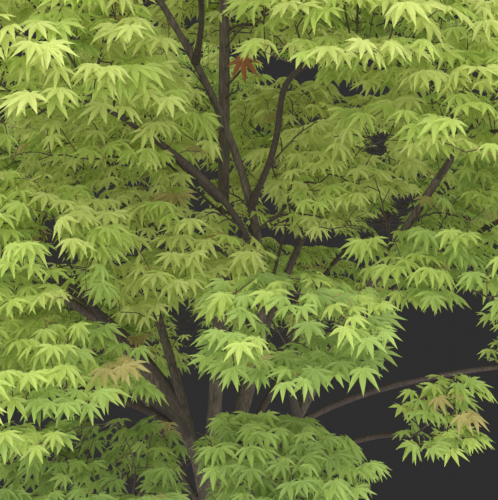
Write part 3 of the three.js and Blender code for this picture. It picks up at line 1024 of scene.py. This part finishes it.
def bladePoint(turn, out, across, lift, shape):
    droop, skirt = shape
    angle = math.radians(turn)
    x = out * math.cos(angle) - across * math.sin(angle)
    y = out * math.sin(angle) + across * math.cos(angle)
    away = math.hypot(x, y)
    return (x, y, lift - droop * away ** 2 - skirt * abs(y) * away)


def bladeEdges(lobes):
    # turn, reach and lift of the points between the lobes, from one heel to the other
    cuts = [*reversed(leafShape["sinus"]), *leafShape["sinus"]]
    turns = [mix(lobes[i][0], lobes[i + 1][0], 0.5) for i in range(len(cuts))]
    lift = leafShape["fold"] / 2
    first = (lobes[0][0] - leafShape["heelTurn"], leafShape["heel"], 0)
    last = (lobes[-1][0] + leafShape["heelTurn"], leafShape["heel"], lift)
    return [first, *((turn, cut, lift) for turn, cut in zip(turns, cuts)), last]


def leafMesh(name, shape):
    lobes = [(-turn, reach, width) for turn, reach, width in reversed(leafShape["lobes"][1:])]
    lobes += leafShape["lobes"]
    points = [(0, 0, 0)]
    lobeAt = [lobeMap["root"]]
    faces = []

    def add(part, turn, out, across=0, lift=0):
        points.append(bladePoint(turn, out, across, lift, shape))
        lobeAt.append(lobeMap[part])
        return len(points) - 1

    edges = bladeEdges(lobes)
    edge = add("heel", edges[0][0], edges[0][1], lift=edges[0][2])
    for (turn, reach, width), (nextTurn, cut, lift) in zip(lobes, edges[1:]):
        nextEdge = add("cut", nextTurn, cut, lift=lift)
        tip = add("tip", turn, reach)
        if width:
            out = reach * leafShape["shoulder"]
            right = add("shoulder", turn, out, -width, leafShape["fold"])
            left = add("shoulder", turn, out, width, leafShape["fold"])
            faces += [(0, edge, right), (0, right, tip), (0, tip, left), (0, left, nextEdge)]
        else:
            faces += [(0, edge, tip), (0, tip, nextEdge)]
        edge = nextEdge
    mesh = bpy.data.meshes.new(name)
    mesh.from_pydata(points, [], faces)
    layer = mesh.uv_layers.new(name="lobe").data
    for loop in mesh.loops:
        layer[loop.index].uv = lobeAt[loop.vertex_index]
    return mesh


def hangLeaf(node, stalkHeading, outside, share, random):
    # one leaf: where its stalk leaves the twig, where its blade starts, and how the blade lies
    placing = leafPlacing
    heading = stalkHeading + centred(random) * placing["stalkTurnSpread"]
    rise = math.radians(placing["stalkRise"] + centred(random) * placing["stalkRiseSpread"])
    length = mix(*placing["stalk"], random())
    level = math.cos(rise)
    stalk = Vector((math.cos(heading) * level, math.sin(heading) * level, math.sin(rise))) * length
    turn = (outside - heading + math.pi) % (2 * math.pi) - math.pi
    facing = heading + turn * mix(*placing["outwards"], random()) + centred(random) * placing["facingSpread"]
    droop = math.radians(mix(*placing["droop"], share ** 2) + centred(random) * placing["droopSpread"])
    roll = math.radians(centred(random) * placing["roll"])
    return {
        "root": node["at"],
        "base": node["at"] + stalk,
        "facing": (roll, droop, facing),
        "size": mix(*placing["sizes"], random()),
        "shape": int(random() * len(leafShape["shapes"])),
        "share": share,
    }


def leavesOf(mass, nodes):
    # leaves in pairs down both sides of the thin twigs, and one at each twig's end
    random = seeded(leafPlacing["seed"] + mass["index"])
    leaves = []
    for i, node in enumerate(nodes[2:], 2):
        if node["load"] > leafPlacing["largestLoad"]:
            continue
        way = node["at"] - nodes[node["parent"]]["at"]
        away = node["at"].xy + (node["at"] - mass["centre"]).xy
        outside = math.atan2(away.y, away.x)
        share = min(1, shareOf(mass, node["at"]))
        for side in [-1, 1] if node["next"] else [-1, 0, 1]:
            heading = math.atan2(way.y, way.x) + side * math.radians(leafPlacing["stalkTurn"])
            leaf = hangLeaf(node, heading, outside, share, random)
            leaf["spray"] = i if node["next"] else node["parent"]
            leaf["level"] = (node["at"].z - mass["centre"].z) / mass["half"].z
            leaves.append(leaf)
    return leaves


def inSpace(mass, masses, places):
    # which places lie in a mass's own space and within the crown's reach
    def shares(other):
        away = (places - np.array(other["centre"])) @ np.array(Matrix.Rotation(other["heading"], 3, "Z"))
        return np.linalg.norm(away / np.array(other["half"]), axis=1)

    own = shares(mass)
    inside = own <= leafPlacing["reach"]
    least = np.minimum(1, own + leafPlacing["apart"])
    for other in masses:
        if other is not mass:
            inside &= shares(other) > least
    return inside & inReach(places, leafPlacing["beyondReach"])


def tipsOf(leaves, turn, reach):
    tips = []
    for leaf in leaves:
        out = Vector((math.cos(math.radians(turn)), math.sin(math.radians(turn)), leafPlacing["tipSag"]))
        length = leaf["size"] * reach * leafPlacing["length"] / mm
        tips.append(leaf["base"] + Euler(leaf["facing"]).to_matrix() @ out * length)
    return np.array(tips)


def fittingLeaves(mass, masses, leaves, limbPoints):
    # the leaves that keep to their mass's space and hang clear of the limbs
    fits = np.full(len(leaves), True)
    for turn, reach in leafPlacing["testedTips"]:
        fits &= inSpace(mass, masses, tipsOf(leaves, turn, reach))
    middles = (tipsOf(leaves, 0, 1) + np.array([leaf["base"] for leaf in leaves])) / 2
    for place in limbPoints:
        fits &= np.linalg.norm(middles - place, axis=1) > leafPlacing["fromLimb"]
    for leaf, middle in zip(leaves, middles):
        leaf["middle"] = middle
    return [leaf for leaf, fit in zip(leaves, fits) if fit]


tints = {
    "random": 0.55,  # how much of a spray's colour is chance
    # painted light: sprays that lie higher and farther out get paler tones, for the light on the crown's top
    # and outside
    "high": 0.35,
    "outer": 0.3,
    "limits": (("deep", 0.22), ("mid", 0.52), ("bright", 0.84), ("pale", math.inf)),
    "bronze": 0.03,  # share of the sprays that are bronze-tinged
    "seeds": (7919, 31),  # for the mass, for the spray
    "ofMass": {  # painted light and shade: how much paler or deeper some masses are than the rest, the inner and upper ones paler against their shade, the low front ones deeper as shade
        "upper-front": 0.34,
        "upper-left": 0.34,
        "upper-right": 0.26,
        "upper-front-right": 0.26,
        "upper-inner-left": 0.3,
        "high-back": 0.15,
        "near-left": 0.28,
        "near-right": 0.34,
        "inner-high": 0.46,
        "inner-back": 0.4,
        "inner-right": 0.4,
        "inner-left": 0.32,
        "inner-back-left": 0.32,
        "middle-left": 0.1,
        "middle-right": -0.04,
        "front": -0.3,
        "low-front": -0.42,
        "low-front-left": -0.06,
        "foot-front-left": -0.42,
        "low-right": 0.05,
    },
}
dryLeaf = {  # the one withered leaf, which hangs beside the leader
    "root": Vector((26, -35, 1350)),
    "base": Vector((35, -60, 1364)),
    "facing": (0.25, 1.15, -1.45),
    "size": 1.2,
    "shape": 2,
    "colour": "dry",
}


def dealColours(mass, leaves):
    # one plain colour for each spray, partly by chance, with painted light: paler where it lies higher and
    # farther out, and painted light and shade by mass
    massSeed, spraySeed = tints["seeds"]
    for leaf in leaves:
        random = seeded(massSeed * mass["index"] + spraySeed * leaf["spray"])
        random()  # the first draw differs too little between neighbouring seeds
        # painted light and shade: the tone rises with the spray's height and its distance out, and shifts
        # paler or deeper by mass
        tone = tints["random"] * random() + tints["high"] * (leaf["level"] + 1) / 2
        tone += tints["outer"] * leaf["share"] ** 2 + tints["ofMass"].get(mass["name"], 0)
        leaf["colour"] = next(name for name, limit in tints["limits"] if tone < limit)
        if random() < tints["bronze"]:
            leaf["colour"] = "bronze"


def pointMesh(name, leaves):
    mesh = bpy.data.meshes.new(name)
    mesh.from_pydata([leaf["base"] * mm for leaf in leaves], [], [])
    for label, kind in (("size", "FLOAT"), ("shape", "INT")):
        layer = mesh.attributes.new(label, kind, "POINT")
        layer.data.foreach_set("value", [leaf[label] for leaf in leaves])
    facing = mesh.attributes.new("facing", "FLOAT_VECTOR", "POINT")
    facing.data.foreach_set("vector", [value for leaf in leaves for value in leaf["facing"]])
    return mesh


def makeLeaves(leaves, names):
    shapes = bpy.data.collections.new("leafShapes")
    for i, shape in enumerate(leafShape["shapes"]):
        shapes.objects.link(bpy.data.objects.new(f"leafShape{i}", leafMesh(f"leafShape{i}", shape)))
    tree = makeLeafTree()
    for colour in leafColours:
        own = [leaf for leaf in leaves if leaf["colour"] == colour]
        material = leafMaterial(colour)
        parts = math.ceil(len(own) / leafPlacing["mostInPiece"])
        for part in range(parts):
            name = f"leaves-{colour}-{part + 1}" if parts > 1 else f"leaves-{colour}"
            piece = newObject(name, pointMesh(name, own[part::parts]))
            useTree(piece, tree, {"Leaves": shapes, "Length": leafPlacing["length"], "Material": material})
            finishPiece(bake(piece, name), names)
    for shape in list(shapes.objects):
        bpy.data.objects.remove(shape)
    bpy.data.collections.remove(shapes)


stalkSkin = {"sides": 3, "radii": (0.715, 0.55)}  # where the stalk leaves its twig, where it meets its blade


def makeStalks(leaves, tubes, material, names):
    rows = [list(zip((leaf["root"], leaf["base"]), stalkSkin["radii"])) for leaf in leaves]
    piece = newObject("stalks", lineMesh("stalks", rows))
    useTree(piece, tubes, {"Sides": stalkSkin["sides"], "Closed": False, "Material": material})
    finishPiece(bake(piece, "stalks"), names)


# Camera, light and floor

view = {
    "target": (0.046, 0, 1.004),
    "elevation": 10,
    "distance": 2.2,
    "pictureWidth": 0.946,  # of what the picture takes in at the target's distance
    "sensor": 36,
}
suns = (
    # name, strength, width in degrees, where it shines from, colour
    ("dome", 3.8, 150, (0, -0.4, 1), (0.95, 0.98, 1)),
    ("key", 0.4, 40, (-0.5, -0.85, 1.1), (1, 0.97, 0.9)),
    ("frontFill", 5.3, 110, (-0.1, -1, 0.3), (1, 1, 1)),
    ("rightFill", 1.7, 110, (1, 0.5, 0.25), (1, 1, 1)),
    ("leftFill", 1.7, 110, (-1, 0.6, 0.25), (1, 1, 1)),
)
stage = {
    "backdrop": (0.029, 0.028, 0.028, 1),
    "floorRadius": 1.18,
    "floorSides": 120,
    "floorColour": (0.42, 0.415, 0.4, 1),
    "floorRoughness": 0.9,
}


def cameraPlace():
    tilt = math.radians(view["elevation"])
    return Vector(view["target"]) + Vector((0, -math.cos(tilt), math.sin(tilt))) * view["distance"]


def makeCamera():
    data = bpy.data.cameras.new("camera")
    data.sensor_fit = "HORIZONTAL"
    data.sensor_width = view["sensor"]
    data.lens = view["sensor"] * view["distance"] / view["pictureWidth"]
    camera = newObject("camera", data)
    camera.location = cameraPlace()
    camera.rotation_euler = (Vector(view["target"]) - cameraPlace()).to_track_quat("-Z", "Y").to_euler()
    bpy.context.scene.camera = camera


def makeLight():
    for name, strength, width, source, colour in suns:
        data = bpy.data.lights.new(name, "SUN")
        data.energy = strength
        data.angle = math.radians(width)
        data.color = colour
        lamp = newObject(name, data)
        lamp.rotation_euler = Vector(source).to_track_quat("Z", "Y").to_euler()
    world = bpy.data.worlds.new("backdrop")
    world.use_nodes = True
    world.node_tree.nodes["Background"].inputs["Color"].default_value = stage["backdrop"]
    bpy.context.scene.world = world
    bpy.context.scene.view_settings.view_transform = "Standard"


def makeFloor():
    material, tree = newMaterial("floor")
    endMaterial(tree, outputOf(tree, "ShaderNodeBsdfPrincipled", {
        "Base Color": stage["floorColour"], "Roughness": stage["floorRoughness"]}))
    radius = stage["floorRadius"]
    angles = [2 * math.pi * i / stage["floorSides"] for i in range(stage["floorSides"])]
    rim = [(radius * math.cos(angle), radius * math.sin(angle), 0) for angle in angles]
    mesh = bpy.data.meshes.new("floor")
    mesh.from_pydata(rim, [], [tuple(range(len(rim)))])
    mesh.materials.append(material)
    newObject("floor", mesh)


def growLeaves(masses, grown, carriers, boughs):
    limbs = [*carriers.values(), *boughs]
    limbPoints = [np.array(place) for limb in limbs for place, _ in limbRow(limb, leafPlacing["limbPiece"])]
    leaves = []
    for mass in masses:
        own = fittingLeaves(mass, masses, leavesOf(mass, grown[mass["name"]]), limbPoints)
        dealColours(mass, own)
        leaves += own
    return inSight(leaves, namedLimbs(carriers, boughs)) + [dryLeaf]


def makeTree():
    masses = [makeMass(row, index) for index, row in enumerate(massRows)]
    names = ["leaves-" + mass["name"] for mass in masses]
    carriers, boughs = growLimbs(masses)
    print("limbs grown:", len(carriers) + len(boughs))
    grown = {mass["name"]: growMass(mass, carriers, boughs) for mass in masses}
    print("twigs grown:", sum(len(nodes) for nodes in grown.values()), "pieces")
    leaves = growLeaves(masses, grown, carriers, boughs)
    print("leaves placed:", len(leaves))
    tubes = makeTubeTree()
    relief = makeReliefTree()
    makeLimbs(carriers, tubes, relief, barkMaterial("bark", barkFinish))
    # painted shade: the boughs get the darker bark
    makeBoughs(boughs, tubes, relief, barkMaterial("boughBarkPaintedShade", boughPaintedShadeFinish))
    bare = bareRows(namedLimbs(carriers, boughs))
    makeTwigs(grown, bare, tubes, barkMaterial("twigBark", twigFinish))
    makeStalks(leaves, tubes, barkMaterial("stalk", stalkFinish), names)
    makeLeaves(leaves, names)


makeCamera()
makeLight()
makeFloor()
print("camera, light and floor placed")
makeTree()
